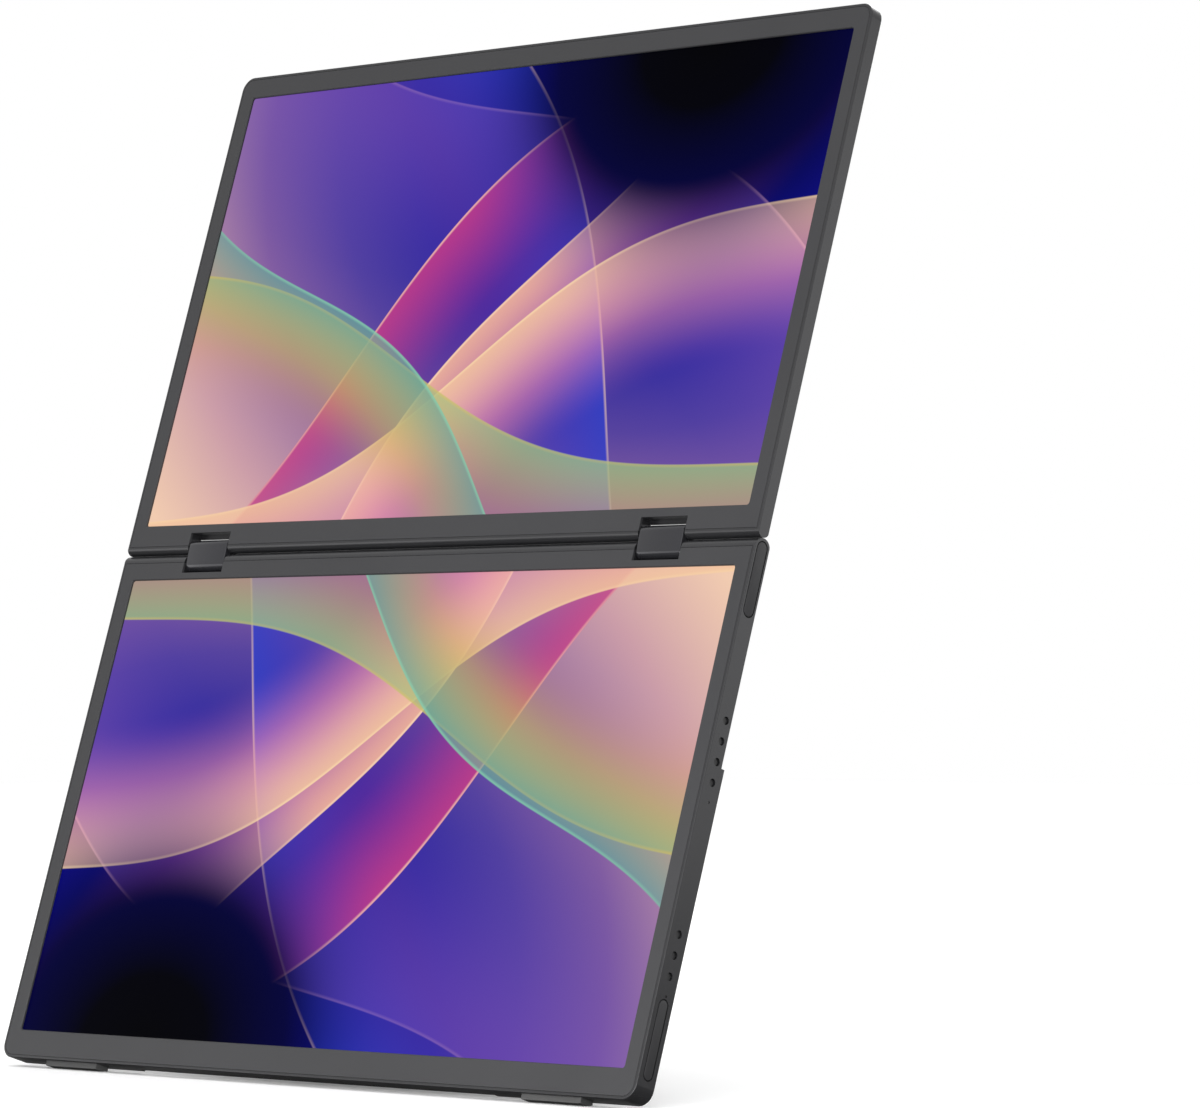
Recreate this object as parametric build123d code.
from build123d import *
import math
import os

# Two thin screens, one above the other, joined by a pair of double-pivot hinges.
# Lengths are in millimetres and angles in degrees.
# Each piece is drawn with the halves flat and upright: X to the right as seen from the
# front, Y into the screens from the front face, Z up from the middle of the gap between
# the halves. At the end everything leans back onto its stand.

# Whole object
lean_angle = 17.85
gap_between_halves = 0.05
corner_radius = 6.0
edge_softening = 0.4
side_wall = 1.8
lip_width = 1.2
seam = 0.15

# Screens, the same in both halves
screen_width = 344.16
screen_height = 193.59
side_border = 8.12
window_corner = 1.2
window_bevel = 0.3
bezel_thickness = 1.0
cell_thickness = 1.1
cell_margin = 1.2
driver_ledge = 5.0
backlight_thickness = 1.8
backlight_rim = 0.4
stack_clearance = 0.1

# Upper half
upper_thickness = 6.0
upper_back_wall = 1.2
upper_round_wall = 0.75
upper_screen_border = 12.25
upper_far_border = 9.71

# Lower half, thin beside the hinges and raised behind the stand
lower_thickness = 8.2
lower_back_wall = 1.2
lower_round_wall = 1.0
lower_screen_border = 11.55
lower_far_border = 11.81
raised_thickness = 9.9
raised_from = 88.65

# Hinges
hinge_from_side = 50.5
notch_width = 24.5
upper_notch_depth = 8.65
upper_notch_lip = 1.0
lower_notch_depth = 8.75
lower_notch_lip = 0
notch_wall = 1.0
link_width = 23.1
upper_link_radius = 2.95
lower_link_radius = 3.7
upper_shaft_radius = 1.1
lower_shaft_radius = 1.6
upper_barrel_radius = 1.75
lower_barrel_radius = 2.5
barrel_length = 9.0
barrel_side_gap = 0.15
running_fit = 0.05
clip_thickness = 0.5
clip_overhang = 0.6
shaft_tail = 0.6
upper_bracket_plate = 0.8
lower_bracket_plate = 1.0
bracket_reach = 20.0
bracket_clearance = 0.2
bracket_screw_head_radius = 1.4
bracket_screw_head_height = 0.4
bracket_screw_radius = 0.7
bracket_screw_depth = 0.8
bracket_screw_edge = 3.0
cable_radius = 0.5
cable_channel_radius = 0.6

# Flat leads from the hollow shafts to the boards
lead_width = 6.0
lead_thickness = 0.3
lead_plug_height = 2.4
lead_gap = 0.3

# Boards and flexes at the driver edge of each screen
display_board_length = 210.0
display_board_width = 9.0
display_board_thickness = 0.6
display_board_inset = 12.0
flex_thickness = 0.15
flex_width = 34.0
flex_count = 4
flex_pitch = 50.0
flex_foot = 2.0
flex_clearance = 0.25

# Main board and its sockets
board_from_side = 2.6
board_width = 69.6
board_above_sockets = 12.2
board_below_sockets = 20.0
board_thickness = 0.8
board_screw_inset = 5.0
board_socket_screw_inset = 10.0
board_screw_radius = 0.8
board_screw_head_radius = 1.7
board_screw_head_height = 0.35
boss_radius = 2.2
chip_size = 14.0
chip_height = 1.1
chip_from_side = 44.2
chip_below_board_top = 49.0
shield_width = 24.0
shield_height = 1.7
shield_wall = 0.2
connector_width = 8.0
connector_depth = 4.0
socket_y = 6.8
socket_depth = 7.3
socket_recess = 0.2
socket_clearance = 0.12
socket_wall = 0.3
usb_c_width = 8.94
usb_c_height = 3.16
usb_c_tongue_width = 6.7
usb_c_tongue_thickness = 0.7
usb_c_distances = [131.75, 149.95]
mini_hdmi_width = 11.2
mini_hdmi_height = 3.1
mini_hdmi_chamfer = 0.9
mini_hdmi_tongue_width = 8.2
mini_hdmi_tongue_thickness = 0.6
mini_hdmi_distance = 111.15
tongue_setback = 0.8
tongue_root = 1.0

# Keys and lights on the right side
key_y = 4.9
key_hole_radius = 1.55
key_fit = 0.07
key_recess = 0.75
key_flange_radius = 1.95
key_flange_thickness = 0.6
key_flange_gap = 0.03
key_travel = 0.35
key_end_gap = 0.1
key_pitch = 8.0
first_key_distance = 71.0
first_key_count = 4
second_key_distance = 153.1
second_key_count = 3
light_offset = 7.5
light_y = 5.2
light_radius = 0.5
light_recess = 0.25
switch_depth = 2.0
switch_height = 2.2
switch_length = 4.4
switch_tip_radius = 0.6
switch_tip_length = 0.45
key_board_thickness = 0.6
key_board_width = 9.0
key_board_margin = 6.0
key_ribbon_width = 8.0
key_ribbon_distance = 115.95
key_screw_distances = [107.95, 133.95, 183.95]

# Side covers on the right side
side_cover_depth = 0.7
side_cover_fit = 0.22
first_cover_radius = 3.0
first_cover_length = 30.0
second_cover_radius = 2.6
second_cover_length = 31.0
second_cover_y = 4.95
second_cover_above_bottom = 39.35

# Speakers behind their grilles
speaker_x = 67.3
speaker_distance = 47.65
speaker_width = 32.0
speaker_height = 22.0
speaker_corner = 2.0
grille_hole_radius = 0.6
grille_pitch = 3.05
grille_side = 4
mesh_thickness = 0.2
mesh_margin = 1.6

# Feet, edge pads and screws on the back
foot_radius = 8.0
foot_recess = 0.5
foot_proud = 1.0
foot_softening = 0.5
foot_from_side = 12.9
foot_from_hinge_edge = 24.25
foot_from_bottom = 18.3
edge_pad_from_side = 43.2
edge_pad_width = 31.0
edge_pad_front = 1.5
edge_pad_back = 8.0
edge_pad_proud = 2.15
edge_pad_recess = 0.7
edge_pad_facet = 0.7
cover_screw_x = 37.0
cover_screw_above_step = 3.7
cover_screw_recess_radius = 2.45
cover_screw_recess_depth = 1.4
cover_screw_head_radius = 2.2
cover_screw_head_height = 0.95
cover_screw_radius = 1.0
cover_screw_cross_length = 3.0
cover_screw_cross_slot = 0.75
cover_screw_cross_depth = 0.5
cover_boss_radius = 3.6
cover_boss_floor = 0.9
stiffener_thickness = 0.8
stiffener_width = 10.0
stiffener_from_side = 8.2

# Stand
stand_width = 201.4
stand_thickness = 2.2
stand_below_step = 6.8
stand_overhang = 0.5
stand_side_gap = 0.35
stand_back_gap = 0.1
stand_corner = 2.0
stand_floor = 1.0
stand_tub_wall = 1.2
stand_pad_length = 178.0
stand_pad_thickness = 1.4
stand_pad_groove = 0.8
stand_pad_tongue = 1.1
stand_pin_radius = 0.5
stand_pin_in_plate = 12.0
clutch_length = 12.0
clutch_wall = 0.3
clutch_fit = 0.02
clutch_block_height = 4.6


# Places worked out from the sizes above

panel_width = screen_width + 2 * side_border
upper_height = upper_screen_border + screen_height + upper_far_border
lower_height = lower_screen_border + screen_height + lower_far_border
half_width = panel_width / 2
half_gap = gap_between_halves / 2
hinge_x = half_width - hinge_from_side
cell_front = bezel_thickness
cell_back = cell_front + cell_thickness
backlight_back = cell_back + backlight_thickness
upper_radius = upper_thickness / 2
lower_radius = lower_thickness / 2
upper_axis = (upper_radius, half_gap + upper_radius)
lower_axis = (lower_radius, -half_gap - lower_radius)
upper_inner_back = upper_thickness - upper_back_wall
lower_inner_back = lower_thickness - lower_back_wall
raised_inner_back = raised_thickness - lower_back_wall
lower_bottom = -half_gap - lower_height
step_z = -half_gap - raised_from
foot_x = half_width - foot_from_side
foot_top_z = -half_gap - foot_from_hinge_edge
foot_bottom_z = lower_bottom + foot_from_bottom
edge_pad_x = half_width - edge_pad_from_side
cover_screw_z = step_z + cover_screw_above_step
speaker_z = -half_gap - speaker_distance
usb_c_places = [-half_gap - distance for distance in usb_c_distances]
mini_hdmi_place = -half_gap - mini_hdmi_distance
board_left = -half_width + board_from_side
board_right = board_left + board_width
board_top = mini_hdmi_place + board_above_sockets
board_bottom = usb_c_places[-1] - board_below_sockets
chip_x = -half_width + chip_from_side
chip_z = board_top - chip_below_board_top
key_ribbon_z = -half_gap - key_ribbon_distance
key_screw_places = [-half_gap - distance for distance in key_screw_distances]
second_cover_top = lower_bottom + second_cover_above_bottom
stand_top_z = step_z - stand_below_step
stand_tip_z = lower_bottom - stand_overhang
recess_floor = raised_thickness - stand_thickness - stand_back_gap
tub_front = recess_floor - stand_floor
stand_axis = (raised_thickness - stand_thickness / 2, stand_top_z - stand_thickness / 2)
stand_length = stand_axis[1] - stand_tip_z
board_back = socket_y - usb_c_height / 2
board_front = board_back - board_thickness
inner_side = half_width - side_wall
key_board_front = key_y + switch_height / 2
key_board_back = key_board_front + key_board_thickness
barrel_start = notch_width / 2 + notch_wall + barrel_side_gap
barrel_end = barrel_start + barrel_length
shaft_half_length = barrel_end + barrel_side_gap + clip_thickness + shaft_tail


# Shapes used by many pieces


def block(x0, x1, y0, y1, z0, z1):
    """A box between two planes on each axis."""
    centre = ((x0 + x1) / 2, (y0 + y1) / 2, (z0 + z1) / 2)
    return Pos(*centre) * Box(abs(x1 - x0), abs(y1 - y0), abs(z1 - z0))


def rod_x(x0, x1, y, z, radius):
    """A round bar along X."""
    return Pos((x0 + x1) / 2, y, z) * Rot(0, 90, 0) * Cylinder(radius, abs(x1 - x0))


def rod_y(x, y0, y1, z, radius):
    """A round bar along Y."""
    return Pos(x, (y0 + y1) / 2, z) * Rot(90, 0, 0) * Cylinder(radius, abs(y1 - y0))


def slab(outline, y0, y1):
    """An outline in the plane of the screens, made solid between two depths."""
    return extrude(Plane.XZ.offset(-y0) * outline, y0 - y1)


def side_plate(outline, x0, x1):
    """An outline in the plane of the side, u along Y and v along Z, made solid along X."""
    return extrude(Plane.YZ.offset(x0) * outline, x1 - x0)


def group(shapes):
    """Several separate solids that share one node."""
    return Compound(children=[shape for shape in shapes])


def mirrored(make, offset):
    """The same piece on both sides, made from its place along X."""
    return [make(-offset), make(offset)]


# One half of the case. The side is 1 for the upper half and -1 for the lower one, and
# distances run away from the gap.


def z_at(side, distance):
    """The height of a point at a distance from the hinge edge of its half."""
    return side * (half_gap + distance)


def half_outline(side, near, far, inset, radius):
    """The front outline of a half, with its far corners rounded."""
    width = panel_width - 2 * inset
    centre = (z_at(side, near) + z_at(side, far)) / 2
    plain = Pos(0, centre) * Rectangle(width, far - near)
    corners = plain.vertices().group_by(Axis.Y)[-1 if side > 0 else 0]
    return fillet(corners, radius)


def soft_slab(outline, y0, y1):
    """A slab whose front and back outlines are softened."""
    plain = slab(outline, y0, y1)
    rims = plain.faces().sort_by(Axis.Y)
    edges = rims[0].edges() + rims[-1].edges()
    return fillet(edges, edge_softening)


def round_ended(side, height, thickness):
    """A solid as wide as a half, fully rounded along its hinge edge."""
    radius = thickness / 2
    straight = Pos(radius, (z_at(side, radius) + z_at(side, height)) / 2)
    profile = straight * Rectangle(thickness, height - radius)
    profile += Pos(radius, z_at(side, radius)) * Circle(radius)
    return side_plate(profile, -half_width, half_width)


def half_envelope(side, height, thickness):
    """The outside of a half before it is hollowed."""
    outline = half_outline(side, 0, height, 0, corner_radius)
    return soft_slab(outline, 0, thickness) & round_ended(side, height, thickness)


def half_hollow(side, height, thickness, inner_back, round_wall):
    """The room inside a half, from the bezel back to the rear wall."""
    radius = thickness / 2
    outline = half_outline(side, radius, height - side_wall, side_wall, corner_radius - side_wall)
    room = slab(outline, bezel_thickness, inner_back)
    reach = radius - round_wall
    bore = rod_x(-inner_side, inner_side, radius, z_at(side, radius), reach)
    return room + bore


def bezel_recess(side, height, thickness, clearance):
    """The seat of the front bezel, or with a clearance the bezel's own outline."""
    inset = lip_width + clearance
    near = thickness / 2 + clearance
    return half_outline(side, near, height - inset, inset, corner_radius - inset)


def notch_zone(side, x, depth, margin, y0, y1):
    """The block of a hinge notch, grown by a margin on its three closed sides."""
    half = notch_width / 2 + margin
    return block(x - half, x + half, y0, y1, z_at(side, -half_gap), z_at(side, depth + margin))


def half_case(side, height, thickness, inner_back, round_wall, notch_depth, notch_lip, shaft_radius):
    """A back cover: floor, side walls, rounded hinge edge and the two hinge notches."""
    envelope = half_envelope(side, height, thickness)
    case = envelope - half_hollow(side, height, thickness, inner_back, round_wall)
    case -= slab(bezel_recess(side, height, thickness, 0), -thickness, bezel_thickness)
    deepest = thickness - edge_softening
    for x in (-hinge_x, hinge_x):
        walls = notch_zone(side, x, notch_depth, notch_wall, bezel_thickness, deepest)
        case += walls & envelope
    for x in (-hinge_x, hinge_x):
        case -= notch_zone(side, x, notch_depth, 0, -thickness, inner_back)
        case -= notch_zone(side, x, notch_depth - notch_lip, 0, -thickness, 2 * thickness)
        reach = notch_width / 2 + notch_wall + barrel_side_gap
        bore = shaft_radius + running_fit
        case -= rod_x(x - reach, x + reach, thickness / 2, z_at(side, thickness / 2), bore)
    return case


# Screens


def screen_middle(side, border):
    """The height of the middle of a screen."""
    return z_at(side, border + screen_height / 2)


def make_bezel(side, height, thickness, border, notch_depth):
    """The front frame round a screen, with a slanted inner edge."""
    outline = bezel_recess(side, height, thickness, seam)
    window = Pos(0, screen_middle(side, border)) * RectangleRounded(
        screen_width, screen_height, window_corner
    )
    bezel = slab(outline - window, 0, bezel_thickness)
    front = bezel.faces().sort_by(Axis.Y)[0]
    bezel = chamfer(front.inner_wires()[0].edges(), window_bevel)
    for x in (-hinge_x, hinge_x):
        bezel -= notch_zone(side, x, notch_depth, 0, -bezel_thickness, 2 * bezel_thickness)
    return bezel


def stack_block(side, border, rim, ledge, y0, y1):
    """One layer of a screen, a little larger than its window."""
    near = border - rim
    far = border + screen_height + ledge
    half = screen_width / 2 + rim
    return block(-half, half, y0, y1, z_at(side, near), z_at(side, far))


def make_cell(side, border):
    """The glass of the screen, with its driver ledge on the far side."""
    return stack_block(side, border, cell_margin, driver_ledge, cell_front, cell_back)


def make_backlight(side, border):
    """The light guide and its tray behind the glass."""
    rim = cell_margin + backlight_rim
    return stack_block(side, border, cell_margin, rim, cell_back, backlight_back)


def flex_line(border):
    """The distance from the hinge edge at which the flexes bend round the backlight."""
    return border + screen_height + cell_margin + backlight_rim + flex_clearance


def make_display_board(side, border):
    """The narrow driver board behind the backlight."""
    far = border + screen_height - display_board_inset
    near = far - display_board_width
    half = display_board_length / 2
    back = backlight_back + display_board_thickness
    return block(-half, half, backlight_back, back, z_at(side, near), z_at(side, far))


def make_display_flex(side, border, x):
    """One driver film, from the glass round the backlight to its board."""
    bend = flex_line(border)
    half = flex_width / 2
    board_edge = border + screen_height - display_board_inset
    foot_end = bend + flex_thickness + flex_foot
    back = backlight_back + flex_thickness
    glass = block(
        x - half, x + half, cell_back, cell_back + flex_thickness,
        z_at(side, bend), z_at(side, foot_end),
    )
    drop = block(
        x - half, x + half, cell_back, back,
        z_at(side, bend), z_at(side, bend + flex_thickness),
    )
    tail = block(
        x - half, x + half, backlight_back, back,
        z_at(side, board_edge), z_at(side, bend),
    )
    return glass + drop + tail


def make_display_flexes(side, border):
    """The row of driver films."""
    first = -(flex_count - 1) * flex_pitch / 2
    return group(make_display_flex(side, border, first + i * flex_pitch) for i in range(flex_count))


# Hinges


def make_link(x, channelled):
    """A link with two round ends, each about one of the hinge axes."""
    ends = Pos(*upper_axis) * Circle(upper_link_radius), Pos(*lower_axis) * Circle(lower_link_radius)
    outline = make_hull([edge for end in ends for edge in end.edges()])
    outline -= Pos(*upper_axis) * Circle(upper_shaft_radius)
    outline -= Pos(*lower_axis) * Circle(lower_shaft_radius)
    link = side_plate(outline, x - link_width / 2, x + link_width / 2)
    if channelled:
        link -= link_channel(x, cable_channel_radius)
    return link


def link_channel(x, radius):
    """A round passage from one hinge axis to the other."""
    rise = (upper_axis[0] - lower_axis[0], upper_axis[1] - lower_axis[1])
    length = math.hypot(*rise)
    tilt = math.degrees(math.atan2(rise[0], rise[1]))
    middle = ((upper_axis[0] + lower_axis[0]) / 2, (upper_axis[1] + lower_axis[1]) / 2)
    return Pos(x, *middle) * Rot(-tilt, 0, 0) * Cylinder(radius, length)


def make_shaft(x, axis, radius, hollow):
    """A hinge shaft, through the link and out into the barrels on both sides."""
    shaft = rod_x(x - shaft_half_length, x + shaft_half_length, *axis, radius)
    if hollow:
        shaft -= rod_x(x - shaft_half_length, x, *axis, cable_channel_radius)
        shaft -= Pos(x, *axis) * Sphere(cable_channel_radius)
        shaft -= link_channel(x, cable_channel_radius)
    return shaft


def make_shafts(axis, radius):
    """The two shafts of one axis; the left one is hollow for the cable."""
    return group([make_shaft(-hinge_x, axis, radius, True), make_shaft(hinge_x, axis, radius, False)])


def make_clips(axis, radius):
    """Retaining rings at the ends of the shafts."""
    rings = []
    start = barrel_end + barrel_side_gap
    for x in (-hinge_x, hinge_x):
        for direction in (-1, 1):
            x0 = x + direction * start
            x1 = x0 + direction * clip_thickness
            ring = rod_x(x0, x1, *axis, radius + clip_overhang)
            rings.append(ring - rod_x(x0, x1, *axis, radius))
    return group(rings)


def make_hinge_cable():
    """The display cable, in through one hollow shaft, up the link and out of the other."""
    x = -hinge_x
    outer = x - shaft_half_length
    cable = link_channel(x, cable_radius)
    for axis in (upper_axis, lower_axis):
        cable += rod_x(outer, x, *axis, cable_radius)
        cable += Pos(x, *axis) * Sphere(cable_radius)
    return cable


def bracket_screw_places(side, x, depth):
    """Where the screws of one bracket stand: two on each wing."""
    spread = barrel_start + barrel_length / 2
    rows = (
        z_at(side, depth + notch_wall + bracket_screw_edge),
        z_at(side, depth + notch_wall + bracket_reach - bracket_screw_edge),
    )
    return [(x + sign * spread, row) for sign in (-1, 1) for row in rows]


def make_bracket(side, x, thickness, barrel, shaft, plate, inner_back, depth):
    """A steel bracket: a barrel on each side of the notch and a plate across the top."""
    axis = (thickness / 2, z_at(side, thickness / 2))
    near = z_at(side, thickness / 2)
    crossing = z_at(side, depth + notch_wall + bracket_clearance)
    far = z_at(side, depth + notch_wall + bracket_reach)
    bracket = block(x - barrel_end, x + barrel_end, inner_back - plate, inner_back, near, far)
    slot = barrel_start
    bracket -= block(x - slot, x + slot, 0, inner_back, near, crossing)
    for sign in (-1, 1):
        bracket += rod_x(x + sign * barrel_start, x + sign * barrel_end, *axis, barrel)
    bracket -= rod_x(x - barrel_end, x + barrel_end, *axis, shaft + running_fit)
    for place_x, place_z in bracket_screw_places(side, x, depth):
        bracket -= bracket_screw(place_x, place_z, plate, inner_back)
    return bracket


def bracket_screw(x, z, plate, inner_back):
    """A flat screw sunk in its bracket, with its thread in the rear wall."""
    front = inner_back - plate
    head_back = front + bracket_screw_head_height
    head = rod_y(x, front, head_back, z, bracket_screw_head_radius)
    return head + rod_y(x, head_back, inner_back + bracket_screw_depth, z, bracket_screw_radius)


def bracket_screws(side, plate, inner_back, depth):
    """All the bracket screws of one half."""
    screws = []
    for x in (-hinge_x, hinge_x):
        for place_x, place_z in bracket_screw_places(side, x, depth):
            screws.append(bracket_screw(place_x, place_z, plate, inner_back))
    return screws


def make_lead(side, axis, inner_back, far):
    """A flat lead from the hollow shaft's end along the rear wall."""
    x1 = -hinge_x - shaft_half_length - lead_gap
    x0 = x1 - lead_width
    y, z = axis
    half = lead_plug_height / 2
    strip_back = inner_back - stack_clearance
    strip_front = strip_back - lead_thickness
    plug = block(x0, x1, y - half, strip_back, z - half, z + half)
    return plug + block(x0, x1, strip_front, strip_back, z, far)


# Upper half


def make_upper_cover():
    """The rear cover of the upper half."""
    cover = half_case(
        1, upper_height, upper_thickness, upper_inner_back, upper_round_wall,
        upper_notch_depth, upper_notch_lip, upper_shaft_radius,
    )
    for screw in bracket_screws(1, upper_bracket_plate, upper_inner_back, upper_notch_depth):
        cover -= screw
    return cover


def make_upper_brackets():
    """The left and right brackets of the upper half."""
    return group(mirrored(
        lambda x: make_bracket(
            1, x, upper_thickness, upper_barrel_radius, upper_shaft_radius,
            upper_bracket_plate, upper_inner_back, upper_notch_depth,
        ), hinge_x,
    ))


def upper_board_near():
    """The edge of the upper driver board that faces the hinges."""
    return z_at(1, upper_screen_border + screen_height - display_board_inset - display_board_width)


# Lower half


def raised_envelope():
    """The thicker rear of the lower half, with softened edges."""
    outline = half_outline(-1, raised_from, lower_height, 0, corner_radius)
    return soft_slab(outline, 0, raised_thickness)


def raised_hollow():
    """The extra room behind the boards in the raised rear."""
    near = raised_from + side_wall
    inset = side_wall
    outline = half_outline(-1, near, lower_height - inset, inset, corner_radius - inset)
    return slab(outline, bezel_thickness, raised_inner_back)


def stand_recess():
    """The pocket in which the shut stand lies, open at the bottom edge."""
    half = stand_width / 2 + stand_side_gap
    top = stand_top_z + stand_side_gap
    bottom = lower_bottom - lower_thickness
    return block(-half, half, recess_floor, 2 * raised_thickness, bottom, top)


def stand_tub():
    """The walls round the stand's pocket."""
    half = stand_width / 2 + stand_side_gap + stand_tub_wall
    top = stand_top_z + stand_side_gap + stand_tub_wall
    bottom = lower_bottom + side_wall / 2
    return block(-half, half, tub_front, raised_inner_back, bottom, top)


def clutch_x(direction):
    """Where the friction sleeve of one stand pin starts and ends."""
    start = stand_width / 2 + 2 * stand_side_gap
    return direction * start, direction * (start + clutch_length)


def clutch_block(direction):
    """The solid block of the case that holds one friction sleeve."""
    x0, x1 = clutch_x(direction)
    y, z = stand_axis
    half = clutch_block_height / 2
    end = x1 + direction * stand_tub_wall
    return block(x0 - direction * stand_side_gap, end, tub_front, raised_inner_back, z - half, z + half)


def grille_places():
    """The places of the grille's holes: a hexagon, four holes along each side."""
    row_step = grille_pitch * math.sqrt(3) / 2
    places = []
    for row in range(-(grille_side - 1), grille_side):
        count = 2 * grille_side - 1 - abs(row)
        for i in range(count):
            places.append(((i - (count - 1) / 2) * grille_pitch, row * row_step))
    return places


def grille_outline(x):
    """All the holes of one grille as one flat outline."""
    holes = [Pos(x + dx, speaker_z + dz) * Circle(grille_hole_radius) for dx, dz in grille_places()]
    return Sketch() + holes


def foot_places():
    """Each foot's place and the depth of the face it stands on."""
    places = []
    for x in (-foot_x, foot_x):
        places.append((x, foot_top_z, lower_thickness))
        places.append((x, foot_bottom_z, raised_thickness))
    return places


def board_screw_places():
    """The corners of the main board that are screwed down."""
    left = board_left + board_screw_inset
    beside_socket = board_left + board_socket_screw_inset
    right = board_right - board_screw_inset
    top = board_top - board_screw_inset
    bottom = board_bottom + board_screw_inset
    return [(beside_socket, top), (right, top), (right, bottom), (left, bottom)]


def key_board_right():
    """The side of the key board that faces the keys."""
    return key_flange_back() - key_travel - key_end_gap - switch_tip_length


def key_screw_x():
    """The line of screws in the key board."""
    return key_board_right() - key_board_width / 2 - switch_depth / 2


def key_groups():
    """The height of the first key of each group, with the number of keys."""
    return [
        (-half_gap - first_key_distance, first_key_count),
        (-half_gap - second_key_distance, second_key_count),
    ]


def key_places():
    """The heights of the keys, top to bottom."""
    return [first - i * key_pitch for first, count in key_groups() for i in range(count)]


def light_places():
    """The heights of the pinhole lights, one below each group of keys."""
    return [first - (count - 1) * key_pitch - light_offset for first, count in key_groups()]


def obround(y, top, length, radius):
    """The outline of a side cover: two round ends joined by straight sides."""
    centre = top - length / 2
    return Pos(y, centre) * Rot(0, 0, 90) * SlotOverall(length, 2 * radius)


def side_cover_outlines(clearance):
    """The outlines of the two side covers, shrunk by a clearance."""
    first_top = lower_axis[1] + first_cover_radius
    return [
        obround(
            lower_axis[0], first_top - clearance,
            first_cover_length - 2 * clearance, first_cover_radius - clearance,
        ),
        obround(
            second_cover_y, second_cover_top - clearance,
            second_cover_length - 2 * clearance, second_cover_radius - clearance,
        ),
    ]


def usb_c_outline(growth):
    """The mouth of a rounded socket, grown or shrunk all round."""
    return SlotOverall(usb_c_width + 2 * growth, usb_c_height + 2 * growth)


def mini_hdmi_outline(growth):
    """The mouth of a socket with two slanted corners."""
    plain = Rectangle(mini_hdmi_width + 2 * growth, mini_hdmi_height + 2 * growth)
    return chamfer(plain.vertices().group_by(Axis.Y)[-1], mini_hdmi_chamfer)


def socket_solid(outline, z, depth0, depth1):
    """A socket outline on the left side, made solid from one depth to another."""
    flat = Pos(socket_y, z) * Rot(0, 0, 90) * outline
    return side_plate(flat, -half_width + depth0, -half_width + depth1)


def make_socket(outline, z):
    """A sheet-metal socket shell with a closed back."""
    shell = socket_solid(outline(0), z, socket_recess, socket_depth)
    return shell - socket_solid(outline(-socket_wall), z, 0, socket_depth - socket_wall)


def make_tongue(z, width, thickness):
    """The contact tongue inside a socket, standing on the socket's back."""
    back = -half_width + socket_depth - socket_wall
    front = -half_width + socket_recess + tongue_setback
    half_height = thickness / 2
    tongue = block(
        front, back, socket_y - half_height, socket_y + half_height, z - width / 2, z + width / 2
    )
    root_height = half_height + thickness / 2
    return tongue + block(
        back - tongue_root, back, socket_y - root_height, socket_y + root_height,
        z - width / 2, z + width / 2,
    )


def lower_case_additions():
    """Bosses, tub walls and blocks inside the lower cover."""
    added = [stand_tub(), clutch_block(-1), clutch_block(1)]
    for x, z in board_screw_places():
        added.append(rod_y(x, board_back, raised_inner_back, z, boss_radius))
    for z in key_screw_places:
        added.append(rod_y(key_screw_x(), key_board_back, raised_inner_back, z, boss_radius))
    boss_front = lower_thickness - cover_screw_recess_depth - cover_boss_floor
    for x in (-cover_screw_x, cover_screw_x):
        added.append(rod_y(x, boss_front, lower_inner_back, cover_screw_z, cover_boss_radius))
    return added


def lower_case_cuts():
    """Pockets, bores and slots cut into the lower cover."""
    cuts = [stand_recess()]
    screw_seat = lower_thickness - cover_screw_recess_depth
    for x in (-cover_screw_x, cover_screw_x):
        cuts.append(rod_y(x, screw_seat, raised_thickness, cover_screw_z, cover_screw_recess_radius))
        cuts.append(rod_y(x, 0, screw_seat, cover_screw_z, cover_screw_radius))
    for x, z, face in foot_places():
        cuts.append(rod_y(x, face - foot_recess, 2 * raised_thickness, z, foot_radius))
    for x in (-speaker_x, speaker_x):
        cuts.append(slab(grille_outline(x), lower_inner_back - lower_back_wall, raised_thickness))
    for x in (-edge_pad_x, edge_pad_x):
        cuts.append(edge_pad_block(x, lower_bottom - lower_back_wall))
    for z in key_places():
        cuts.append(rod_x(0, panel_width, key_y, z, key_hole_radius) & side_wall_zone())
    for z in light_places():
        cuts.append(rod_x(0, panel_width, light_y, z, light_radius + running_fit) & side_wall_zone())
    for outline in side_cover_outlines(0):
        cuts.append(side_plate(outline, half_width - side_cover_depth, half_width + side_wall))
    for z in usb_c_places:
        cuts.append(socket_solid(usb_c_outline(socket_clearance), z, -side_wall, 2 * side_wall))
    hdmi = mini_hdmi_outline(socket_clearance)
    cuts.append(socket_solid(hdmi, mini_hdmi_place, -side_wall, 2 * side_wall))
    for screw in bracket_screws(-1, lower_bracket_plate, lower_inner_back, lower_notch_depth):
        cuts.append(screw)
    for screw in board_screws():
        cuts.append(screw)
    for direction in (-1, 1):
        x0, x1 = clutch_x(direction)
        cuts.append(rod_x(x0 - direction * side_wall, x1, *stand_axis, clutch_outer() + clutch_fit))
    return cuts


def side_wall_zone():
    """The right side wall, in which the keys and lights have their holes."""
    reach = half_width + side_wall
    return block(inner_side - side_wall, reach, 0, raised_thickness, lower_bottom, 0)


def make_lower_cover():
    """The rear cover of the lower half, with the stand's pocket in its raised part."""
    cover = half_case(
        -1, lower_height, lower_thickness, lower_inner_back, lower_round_wall,
        lower_notch_depth, lower_notch_lip, lower_shaft_radius,
    )
    recess = slab(bezel_recess(-1, lower_height, lower_thickness, 0), -lower_thickness, bezel_thickness)
    inside = half_hollow(-1, lower_height, lower_thickness, lower_inner_back, lower_round_wall)
    deep_inside = raised_hollow()
    raised = raised_envelope() - recess - deep_inside - inside
    cover = (cover - deep_inside) + raised
    for addition in lower_case_additions():
        cover += addition
    for cut in lower_case_cuts():
        cover -= cut
    return cover


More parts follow.
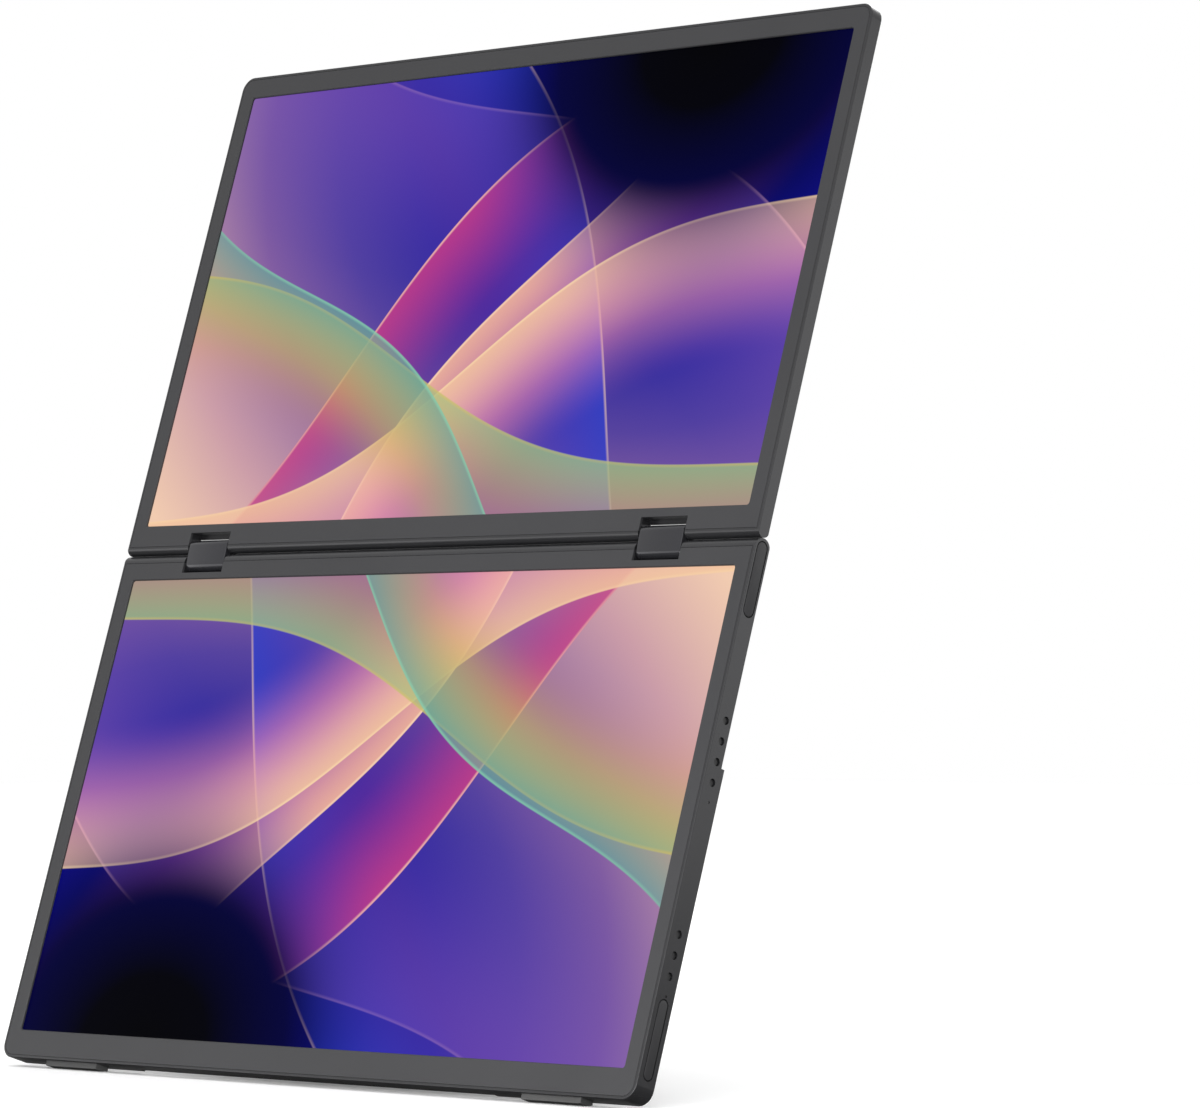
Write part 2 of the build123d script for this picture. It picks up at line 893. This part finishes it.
def make_lower_brackets():
    """The left and right brackets of the lower half."""
    return group(mirrored(
        lambda x: make_bracket(
            -1, x, lower_thickness, lower_barrel_radius, lower_shaft_radius,
            lower_bracket_plate, lower_inner_back, lower_notch_depth,
        ), hinge_x,
    ))


def make_stiffener():
    """A flat steel bar behind the backlight, with the two posts of the rear screws."""
    front = backlight_back + stack_clearance
    back = front + stiffener_thickness
    half = stiffener_width / 2
    end = half_width - stiffener_from_side
    bar = block(-end, end, front, back, cover_screw_z - half, cover_screw_z + half)
    post_end = lower_thickness - cover_screw_recess_depth - cover_boss_floor
    for x in (-cover_screw_x, cover_screw_x):
        bar += rod_y(x, back, post_end, cover_screw_z, boss_radius)
        bar -= rod_y(x, front, post_end, cover_screw_z, cover_screw_radius)
    return bar


def make_cover_screw(x):
    """A rear screw in its round recess, with a cross for the driver."""
    seat = lower_thickness - cover_screw_recess_depth
    top = seat + cover_screw_head_height
    tip = backlight_back + 2 * stack_clearance
    screw = rod_y(x, seat, top, cover_screw_z, cover_screw_head_radius)
    screw += rod_y(x, tip, seat, cover_screw_z, cover_screw_radius)
    arm = cover_screw_cross_length / 2
    slot = cover_screw_cross_slot / 2
    cross = block(x - arm, x + arm, 0, top, cover_screw_z - slot, cover_screw_z + slot)
    cross += block(x - slot, x + slot, 0, top, cover_screw_z - arm, cover_screw_z + arm)
    depth = block(
        x - arm, x + arm, top - cover_screw_cross_depth, top, cover_screw_z - arm, cover_screw_z + arm
    )
    return screw - (cross & depth)


def make_foot(x, z, face):
    """A round rubber foot glued in a shallow recess."""
    foot = rod_y(x, face - foot_recess, face + foot_proud, z, foot_radius)
    return fillet(foot.faces().sort_by(Axis.Y)[-1].edges(), foot_softening)


def edge_pad_block(x, z0):
    """The space of a bottom pad, from a height up into its pocket in the bottom wall."""
    half = edge_pad_width / 2
    return block(
        x - half, x + half, edge_pad_front, edge_pad_back, z0, lower_bottom + edge_pad_recess
    )


def make_edge_pad(x):
    """A rubber pad under the bottom edge, bevelled to lie flat when the object leans."""
    pad = edge_pad_block(x, lower_bottom - edge_pad_proud)
    soft = pad.edges().filter_by(Axis.Y).group_by(Axis.Z)[0]
    pad = fillet(soft, edge_softening)
    below = block(
        x - edge_pad_width, x + edge_pad_width, -lower_height, lower_height,
        floor_height() - edge_pad_width, floor_height(),
    )
    return pad - lean_back(below, -1)


def floor_height():
    """The height of the floor below the gap once everything leans back."""
    corner = leaned(edge_pad_back, lower_bottom - edge_pad_proud)
    return corner[1] + edge_pad_facet


def leaned(y, z):
    """Where a point lies after the object leans back about the gap."""
    lean = math.radians(lean_angle)
    return (
        y * math.cos(lean) + z * math.sin(lean),
        z * math.cos(lean) - y * math.sin(lean),
    )


def lean_back(shape, direction=1):
    """The shape leaned back about the gap, or forward again."""
    return Rot(-direction * lean_angle, 0, 0) * shape


# Electronics


def make_main_board():
    """The main board with its chips and the plug of the display lead."""
    board = block(board_left, board_right, board_front, board_back, board_bottom, board_top)
    half = chip_size / 2
    board += block(
        chip_x - half, chip_x + half, board_back, board_back + chip_height, chip_z - half, chip_z + half
    )
    lead_x = -hinge_x - shaft_half_length - lead_gap - lead_width / 2
    plug_back = lower_inner_back - stack_clearance - lead_thickness
    half = connector_width / 2
    board += block(
        lead_x - half, lead_x + half, board_back, plug_back,
        board_top - 2 * connector_depth, board_top - connector_depth,
    )
    for x, z in board_screw_places():
        board -= rod_y(x, board_front, board_back, z, board_screw_radius)
    return board


def make_board_shield():
    """A thin can over the main chip."""
    half = shield_width / 2
    back = board_back + shield_height
    can = block(chip_x - half, chip_x + half, board_back, back, chip_z - half, chip_z + half)
    inner = half - shield_wall
    return can - block(
        chip_x - inner, chip_x + inner, board_back, back - shield_wall, chip_z - inner, chip_z + inner
    )


def board_screws():
    """The screws of the main board and the key board, heads towards the screen."""
    screws = []
    for x, z in board_screw_places():
        screws.append(board_screw(x, z, board_front))
    for z in key_screw_places:
        screws.append(board_screw(key_screw_x(), z, key_board_front))
    return screws


def board_screw(x, z, front):
    """One board screw, its thread in a boss of the rear cover."""
    head = rod_y(x, front - board_screw_head_height, front, z, board_screw_head_radius)
    tip = raised_inner_back - side_wall / 2
    return head + rod_y(x, front, tip, z, board_screw_radius)


def key_flange_back():
    """The inner face of a key's flange when it isn't pressed."""
    return inner_side - key_flange_gap - key_flange_thickness


def make_key(z):
    """A round key: a stem in its hole and a flange behind the wall."""
    stem = rod_x(inner_side - key_flange_gap, half_width - key_recess, key_y, z, key_hole_radius - key_fit)
    stem = fillet(stem.faces().sort_by(Axis.X)[-1].edges(), edge_softening / 2)
    return stem + rod_x(key_flange_back(), inner_side - key_flange_gap, key_y, z, key_flange_radius)


def make_switch(z):
    """A side-push switch, its plunger just behind its key."""
    x1 = key_board_right()
    half = switch_length / 2
    body = block(
        x1 - switch_depth, x1, key_y - switch_height / 2, key_board_front, z - half, z + half
    )
    return body + rod_x(x1, x1 + switch_tip_length, key_y, z, switch_tip_radius)


def make_key_board():
    """The strip of board that carries the switches and the lights."""
    top = max(key_places()) + key_board_margin
    bottom = min(min(light_places()), min(key_screw_places)) - key_board_margin
    right = key_board_right()
    board = block(right - key_board_width, right, key_board_front, key_board_back, bottom, top)
    plug_x = right - key_board_width
    half = key_ribbon_width / 2
    board += block(
        plug_x, plug_x + connector_depth, board_front, key_board_front,
        key_ribbon_z - half, key_ribbon_z + half,
    )
    for z in key_screw_places:
        board -= rod_y(key_screw_x(), key_board_front, key_board_back, z, board_screw_radius)
    return board


def make_key_ribbon():
    """The flat lead from the key board across to the main board."""
    right = key_board_right() - key_board_width + connector_depth
    left = board_right - connector_depth
    half = key_ribbon_width / 2
    front = board_front - lead_thickness
    return block(left, right, front, board_front, key_ribbon_z - half, key_ribbon_z + half)


def make_light(z):
    """A light pipe from its pinhole back to the key board, with the light on the board."""
    front = half_width - light_recess
    inner = key_board_right() - switch_depth / 2
    pipe = rod_x(inner, front, light_y, z, light_radius)
    foot = block(
        inner - switch_depth / 2, inner, light_y - light_radius, key_board_front,
        z - 2 * light_radius, z + 2 * light_radius,
    )
    return pipe + foot


def make_speaker(x):
    """A sealed speaker box with its round mouth towards the grille."""
    front = backlight_back + 2 * stack_clearance
    back = lower_inner_back - mesh_thickness
    half_x = speaker_width / 2
    half_z = speaker_height / 2
    box = block(x - half_x, x + half_x, front, back, speaker_z - half_z, speaker_z + half_z)
    box = fillet(box.edges().filter_by(Axis.Y), speaker_corner)
    mouth = (grille_side - 1) * grille_pitch
    return box - rod_y(x, (front + back) / 2, back, speaker_z, mouth)


def make_speaker_mesh(x):
    """The dust mesh behind a grille."""
    reach = (grille_side - 1) * grille_pitch + mesh_margin
    outline = Pos(x, speaker_z) * RegularPolygon(reach, 6)
    return slab(outline, lower_inner_back - mesh_thickness, lower_inner_back)


# Stand, drawn shut


def make_stand_plate():
    """The stand's plate, its top edge rounded about the hinge axis."""
    y, z = stand_axis
    half = stand_thickness / 2
    bottom = stand_tip_z
    outline = Pos(0, (z + bottom) / 2) * Rectangle(stand_width, z - bottom)
    outline = fillet(outline.vertices().group_by(Axis.Y)[0], stand_corner)
    plate = slab(outline, y - half, y + half)
    plate += rod_x(-stand_width / 2, stand_width / 2, y, z, half)
    for direction in (-1, 1):
        x1 = direction * stand_width / 2
        plate -= rod_x(x1 - direction * stand_pin_in_plate, x1, y, z, stand_pin_radius)
    return plate - stand_pad()


def stand_pad():
    """The rubber strip set in the tip of the stand."""
    y, _ = stand_axis
    half = stand_pad_length / 2
    tongue = stand_pad_tongue / 2
    body = block(-half, half, y - tongue, y + tongue, stand_tip_z, stand_tip_z + stand_pad_groove)
    base = stand_thickness / 2
    rim = block(
        -half, half, y - base, y + base, stand_tip_z, stand_tip_z + stand_pad_thickness - stand_pad_groove
    )
    return body + rim


def make_stand_pin(direction):
    """A steel pin, fixed in the plate and turning in its friction sleeve."""
    y, z = stand_axis
    inner = direction * (stand_width / 2 - stand_pin_in_plate)
    _, outer = clutch_x(direction)
    return rod_x(inner, outer, y, z, stand_pin_radius)


def clutch_outer():
    """The outer radius of a friction sleeve."""
    return stand_pin_radius + clutch_fit + clutch_wall


def make_clutch(direction):
    """The friction sleeve round one stand pin."""
    x0, x1 = clutch_x(direction)
    sleeve = rod_x(x0, x1, *stand_axis, clutch_outer())
    return sleeve - rod_x(x0, x1, *stand_axis, stand_pin_radius + clutch_fit)


def stand_angle():
    """How far the stand is open when its tip and the edge pads both touch the floor."""
    axis_height = leaned(*stand_axis)[1]
    drop = axis_height - floor_height()
    reach = math.hypot(stand_length, stand_thickness / 2)
    heel = math.degrees(math.atan2(stand_thickness / 2, stand_length))
    return lean_angle + math.degrees(math.acos(drop / reach)) + heel


def opened(shape):
    """A piece of the stand turned out about the stand's axis to its resting angle."""
    y, z = stand_axis
    return Pos(0, y, z) * Rot(stand_angle(), 0, 0) * Pos(0, -y, -z) * shape


# Assembly


def upper_nodes():
    """The pieces of the upper half."""
    board_near = upper_board_near()
    return {
        "upper_back_cover": make_upper_cover(),
        "upper_bezel": make_bezel(
            1, upper_height, upper_thickness, upper_screen_border, upper_notch_depth
        ),
        "upper_lcd_cell": make_cell(1, upper_screen_border),
        "upper_backlight": make_backlight(1, upper_screen_border),
        "upper_display_board": make_display_board(1, upper_screen_border),
        "upper_display_flex": make_display_flexes(1, upper_screen_border),
        "upper_hinge_brackets": make_upper_brackets(),
        "upper_bracket_screws": group(
            bracket_screws(1, upper_bracket_plate, upper_inner_back, upper_notch_depth)
        ),
        "upper_display_lead": make_lead(1, upper_axis, upper_inner_back, board_near),
    }


def link_nodes():
    """The pieces that turn between the two hinge axes."""
    return {
        "hinge_link_left": make_link(-hinge_x, True),
        "hinge_link_right": make_link(hinge_x, False),
        "upper_hinge_shafts": make_shafts(upper_axis, upper_shaft_radius),
        "lower_hinge_shafts": make_shafts(lower_axis, lower_shaft_radius),
        "upper_hinge_clips": make_clips(upper_axis, upper_shaft_radius),
        "lower_hinge_clips": make_clips(lower_axis, lower_shaft_radius),
        "hinge_cable": make_hinge_cable(),
    }


def lower_case_nodes():
    """The case, screen and hinge pieces of the lower half."""
    return {
        "lower_back_cover": make_lower_cover(),
        "lower_bezel": make_bezel(
            -1, lower_height, lower_thickness, lower_screen_border, lower_notch_depth
        ),
        "lower_lcd_cell": make_cell(-1, lower_screen_border),
        "lower_backlight": make_backlight(-1, lower_screen_border),
        "lower_display_board": make_display_board(-1, lower_screen_border),
        "lower_display_flex": make_display_flexes(-1, lower_screen_border),
        "lower_hinge_brackets": make_lower_brackets(),
        "lower_bracket_screws": group(
            bracket_screws(-1, lower_bracket_plate, lower_inner_back, lower_notch_depth)
        ),
        "stiffener": make_stiffener(),
        "cover_screws": group(mirrored(make_cover_screw, cover_screw_x)),
        "rubber_feet": group(make_foot(*place) for place in foot_places()),
        "edge_pads": group(mirrored(make_edge_pad, edge_pad_x)),
        "side_covers": group(
            side_plate(outline, half_width - side_cover_depth, half_width)
            for outline in side_cover_outlines(side_cover_fit)
        ),
        "stand_clutches": group(make_clutch(direction) for direction in (-1, 1)),
    }


def lower_electronics_nodes():
    """The boards, sockets, speakers and leads of the lower half."""
    lead_end = board_top - 2 * connector_depth
    return {
        "main_board": make_main_board(),
        "board_shield": make_board_shield(),
        "board_screws": group(board_screws()),
        "usb_c_shells": group(make_socket(usb_c_outline, z) for z in usb_c_places),
        "usb_c_tongues": group(
            make_tongue(z, usb_c_tongue_width, usb_c_tongue_thickness) for z in usb_c_places
        ),
        "mini_hdmi_shell": make_socket(mini_hdmi_outline, mini_hdmi_place),
        "mini_hdmi_tongue": make_tongue(
            mini_hdmi_place, mini_hdmi_tongue_width, mini_hdmi_tongue_thickness
        ),
        "lower_display_lead": make_lead(-1, lower_axis, lower_inner_back, lead_end),
        "button_board": make_key_board(),
        "button_switches": group(make_switch(z) for z in key_places()),
        "button_ribbon": make_key_ribbon(),
        "led_lenses": group(make_light(z) for z in light_places()),
        "speakers": group(mirrored(make_speaker, speaker_x)),
        "speaker_meshes": group(mirrored(make_speaker_mesh, speaker_x)),
    }


def key_nodes():
    """The keys, numbered from the top."""
    return {f"side_button_{i + 1}": make_key(z) for i, z in enumerate(key_places())}


def stand_nodes():
    """The stand, turned out to its resting angle."""
    shut = {
        "kickstand": make_stand_plate(),
        "stand_pins": group(make_stand_pin(direction) for direction in (-1, 1)),
        "stand_edge_pad": stand_pad(),
    }
    return {name: opened(shape) for name, shape in shut.items()}


def main():
    """Make every piece, lean the object back on its stand and write one file a piece."""
    nodes = {}
    for make_nodes in (upper_nodes, link_nodes, lower_case_nodes, lower_electronics_nodes):
        nodes.update(make_nodes())
    nodes.update(key_nodes())
    nodes.update(stand_nodes())
    leaning = {name: lean_back(shape) for name, shape in nodes.items()}
    boxes = [shape.bounding_box() for shape in leaning.values()]
    middle_y = (min(box.min.Y for box in boxes) + max(box.max.Y for box in boxes)) / 2
    place = Pos(0, -middle_y, -floor_height())
    os.makedirs("parts", exist_ok=True)
    for name, shape in leaning.items():
        export_step(place * shape, f"parts/{name}.step")
    print("stand angle", round(stand_angle(), 3), "shift", -middle_y, -floor_height())
    for label, axis in (("lower", lower_axis), ("upper", upper_axis), ("stand", stand_axis)):
        y, z = leaned(*axis)
        print(label, "axis y", round(y - middle_y, 4), "z", round(z - floor_height(), 4))


main()
